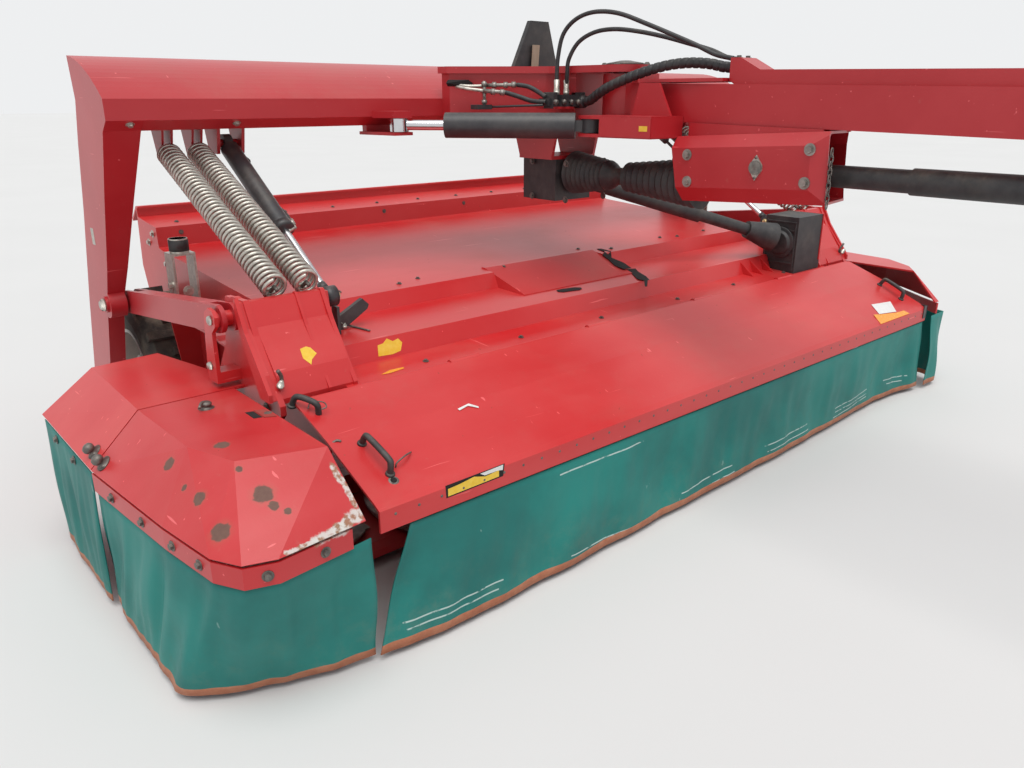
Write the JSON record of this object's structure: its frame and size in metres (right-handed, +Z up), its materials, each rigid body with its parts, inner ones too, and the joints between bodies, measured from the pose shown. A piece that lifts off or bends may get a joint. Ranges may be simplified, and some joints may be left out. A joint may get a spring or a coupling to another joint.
{
  "type": "disc mower conditioner",
  "caption": "Trailed centre-pivot disc mower conditioner, with a full-width cutting header hung under an arched frame, side covers and curtains, and a high steered drawbar.",
  "frame": {"origin": "on the ground, at the middle of the outline's length and width", "axes": "+Z up; the machine travels towards -Y; +X is its left side"},
  "size_m": [4.15, 5.8398, 1.753],
  "materials": {
    "red_paint": "faded gloss red, scratched and rust-spotted",
    "black_plastic": "weathered matte black",
    "black_paint": "satin black paint",
    "hose_rubber": "matte rubber",
    "tyre": "dusty rubber",
    "rim_paint": "dusty grey paint",
    "zinc_steel": "dull galvanised steel",
    "chrome_rod": "chromed rod",
    "curtain": "coated curtain sheet, slightly glossy",
    "worn_steel": "worn steel"
  },
  "bodies": {
    "frame": {"beam": "red_paint", "steer_anchor": "red_paint", "legs": "red_paint", "pivot_box": "red_paint", "pivot_gearbox": "black_plastic", "bellows_rear": "black_plastic", "marker_board": "black_plastic", "valve_block": "black_paint", "hose_loops": "hose_rubber", "hose_bundle": "hose_rubber"},
    "wheel_right": {"tyre_right": "tyre", "rim_right": "rim_paint"},
    "wheel_left": {"tyre_left": "tyre", "rim_left": "rim_paint"},
    "drawbar": {"drawbar": "red_paint", "drawbar_nose": "red_paint", "hose_duct": "red_paint", "pto_box": "red_paint", "pto_guard": "black_plastic", "bellows_front": "black_plastic"},
    "jack": {"jack_leg": "zinc_steel"},
    "steer_barrel": {"steer_barrel": "black_paint"},
    "steer_rod": {"steer_rod": "chrome_rod"},
    "upper_links": {"upper_links": "red_paint"},
    "lower_links": {"lower_links": "red_paint"},
    "header": {"hood": "red_paint", "side_walls": "red_paint", "cutterbar": "red_paint", "end_plates": "red_paint", "spring_brackets": "red_paint", "bump_stops": "red_paint", "header_gearbox": "black_plastic", "swath_shields": "red_paint", "rear_side_panels": "red_paint", "rear_side_curtains": "curtain"},
    "lift_barrels": {"lift_barrels": "black_paint"},
    "lift_rods": {"lift_rods": "chrome_rod"},
    "springs": {"springs": "zinc_steel"},
    "side_shaft_outer": {"side_shaft_outer": "black_plastic"},
    "side_shaft_inner": {"side_shaft_inner": "black_plastic"},
    "front_cover": {"front_cover": "red_paint"},
    "front_curtain": {"front_curtain": "curtain"},
    "side_cover_right": {"side_cover_right": "red_paint", "side_curtain_right": "curtain"},
    "side_cover_left": {"side_cover_left": "red_paint", "side_curtain_left": "curtain"},
    "conditioner_rotor": {"conditioner_rotor": "red_paint"},
    "disc_1": {"disc_1": "worn_steel"},
    "disc_2": {"disc_2": "worn_steel"},
    "disc_3": {"disc_3": "worn_steel"},
    "disc_4": {"disc_4": "worn_steel"},
    "disc_5": {"disc_5": "worn_steel"},
    "disc_6": {"disc_6": "worn_steel"},
    "disc_7": {"disc_7": "worn_steel"},
    "disc_8": {"disc_8": "worn_steel"},
    "disc_9": {"disc_9": "worn_steel"}
  },
  "joints": [
    {"name": "wheel_right_spin", "type": "hinge", "parent": "frame", "child": "wheel_right", "pos_m": [-1.53, 2.45, 0.335], "axis": [1, 0, 0], "continuous": true},
    {"name": "wheel_left_spin", "type": "hinge", "parent": "frame", "child": "wheel_left", "pos_m": [1.53, 2.45, 0.335], "axis": [1, 0, 0], "continuous": true},
    {"name": "drawbar_steer", "type": "hinge", "parent": "frame", "child": "drawbar", "pos_m": [0, 1.22, 1.407], "axis": [0, 0, 1], "range_deg": [-25, 25], "deforming": ["hose_loops", "hose_bundle"]},
    {"name": "steer_barrel_swivel", "type": "hinge", "parent": "drawbar", "child": "steer_barrel", "pos_m": [-0.22, 1.18, 1.32], "axis": [0, 0, 1], "range_deg": [-29.15, 29.15]},
    {"name": "steer_rod_slide", "type": "slide", "parent": "steer_barrel", "child": "steer_rod", "axis": [-0.6585, 0.7526, 0], "range_m": [-0.0806, 0.0806]},
    {"name": "jack_slide", "type": "slide", "parent": "drawbar", "child": "jack", "axis": [0, 0, 1], "range_m": [0, 0.3]},
    {"name": "header_lift", "type": "hinge", "parent": "frame", "child": "upper_links", "pos_m": [0, 2.172, 0.696], "axis": [-1, 0, 0], "range_deg": [0, 15]},
    {"name": "header_level", "type": "hinge", "parent": "upper_links", "child": "header", "pos_m": [0, 1.27497, 0.80805], "axis": [-1, 0, 0], "range_deg": [-15, 0]},
    {"name": "lower_link_swing", "type": "hinge", "parent": "frame", "child": "lower_links", "pos_m": [0, 2.33, 0.352], "axis": [-1, 0, 0], "range_deg": [0, 15]},
    {"name": "lift_barrel_swing", "type": "hinge", "parent": "frame", "child": "lift_barrels", "pos_m": [0, 2.02, 1.262], "axis": [-1, 0, 0], "range_deg": [0, 13.69]},
    {"name": "lift_rod_slide", "type": "slide", "parent": "lift_barrels", "child": "lift_rods", "axis": [0, -0.839, -0.5441], "range_m": [-0.1569, 0]},
    {"name": "spring_swing", "type": "hinge", "parent": "frame", "child": "springs", "pos_m": [0, 2.036, 1.252], "axis": [-1, 0, 0], "range_deg": [0, 13.34], "deforming": ["springs"]},
    {"name": "side_shaft_swing", "type": "hinge", "parent": "frame", "child": "side_shaft_outer", "pos_m": [0.175, 1.59, 1.07], "axis": [-0.3721, -0.8981, 0.2343], "range_deg": [0, 12.66]},
    {"name": "side_shaft_slide", "type": "slide", "parent": "side_shaft_outer", "child": "side_shaft_inner", "axis": [0.8551, -0.4299, -0.2897], "range_m": [-0.0686, 0]},
    {"name": "front_cover_hinge", "type": "hinge", "parent": "header", "child": "front_cover", "pos_m": [0, 1.014, 0.594], "axis": [1, 0, 0], "range_deg": [-84, 0]},
    {"name": "front_curtain_hang", "type": "hinge", "parent": "front_cover", "child": "front_curtain", "pos_m": [0, 0.574, 0.366], "axis": [1, 0, 0], "range_deg": [0, 84]},
    {"name": "side_cover_right_hinge", "type": "hinge", "parent": "header", "child": "side_cover_right", "pos_m": [-1.662, 0.9, 0.58], "axis": [0, -1, 0], "range_deg": [-75, 0]},
    {"name": "side_cover_left_hinge", "type": "hinge", "parent": "header", "child": "side_cover_left", "pos_m": [1.662, 0.9, 0.58], "axis": [0, 1, 0], "range_deg": [-75, 0]},
    {"name": "rotor_spin", "type": "hinge", "parent": "header", "child": "conditioner_rotor", "pos_m": [0, 1.67, 0.43], "axis": [1, 0, 0], "continuous": true},
    {"name": "disc_1_spin", "type": "hinge", "parent": "header", "child": "disc_1", "pos_m": [-1.568, 1.1, 0.078], "axis": [0, 0, 1], "continuous": true},
    {"name": "disc_2_spin", "type": "hinge", "parent": "header", "child": "disc_2", "pos_m": [-1.176, 1.1, 0.078], "axis": [0, 0, 1], "continuous": true},
    {"name": "disc_3_spin", "type": "hinge", "parent": "header", "child": "disc_3", "pos_m": [-0.784, 1.1, 0.078], "axis": [0, 0, 1], "continuous": true},
    {"name": "disc_4_spin", "type": "hinge", "parent": "header", "child": "disc_4", "pos_m": [-0.392, 1.1, 0.078], "axis": [0, 0, 1], "continuous": true},
    {"name": "disc_5_spin", "type": "hinge", "parent": "header", "child": "disc_5", "pos_m": [0, 1.1, 0.078], "axis": [0, 0, 1], "continuous": true},
    {"name": "disc_6_spin", "type": "hinge", "parent": "header", "child": "disc_6", "pos_m": [0.392, 1.1, 0.078], "axis": [0, 0, 1], "continuous": true},
    {"name": "disc_7_spin", "type": "hinge", "parent": "header", "child": "disc_7", "pos_m": [0.784, 1.1, 0.078], "axis": [0, 0, 1], "continuous": true},
    {"name": "disc_8_spin", "type": "hinge", "parent": "header", "child": "disc_8", "pos_m": [1.176, 1.1, 0.078], "axis": [0, 0, 1], "continuous": true},
    {"name": "disc_9_spin", "type": "hinge", "parent": "header", "child": "disc_9", "pos_m": [1.568, 1.1, 0.078], "axis": [0, 0, 1], "continuous": true}
  ],
  "couplings": [
    {"joint": "steer_barrel_swivel", "follows": "drawbar_steer", "ratio": -1.1545},
    {"joint": "steer_rod_slide", "follows": "drawbar_steer", "m_per_rad": 0.1828},
    {"joint": "header_level", "follows": "header_lift", "ratio": -1},
    {"joint": "lower_link_swing", "follows": "header_lift", "ratio": 1},
    {"joint": "lift_barrel_swing", "follows": "header_lift", "ratio": 0.9038},
    {"joint": "lift_rod_slide", "follows": "header_lift", "m_per_rad": -0.5932},
    {"joint": "spring_swing", "follows": "header_lift", "ratio": 0.8802},
    {"joint": "side_shaft_swing", "follows": "header_lift", "ratio": 0.8354},
    {"joint": "side_shaft_slide", "follows": "header_lift", "m_per_rad": -0.2593},
    {"joint": "front_curtain_hang", "follows": "front_cover_hinge", "ratio": -1},
    {"joint": "disc_1_spin", "follows": "rotor_spin", "ratio": 3},
    {"joint": "disc_2_spin", "follows": "rotor_spin", "ratio": -3},
    {"joint": "disc_3_spin", "follows": "rotor_spin", "ratio": 3},
    {"joint": "disc_4_spin", "follows": "rotor_spin", "ratio": -3},
    {"joint": "disc_5_spin", "follows": "rotor_spin", "ratio": 3},
    {"joint": "disc_6_spin", "follows": "rotor_spin", "ratio": -3},
    {"joint": "disc_7_spin", "follows": "rotor_spin", "ratio": 3},
    {"joint": "disc_8_spin", "follows": "rotor_spin", "ratio": -3},
    {"joint": "disc_9_spin", "follows": "rotor_spin", "ratio": 3}
  ]
}
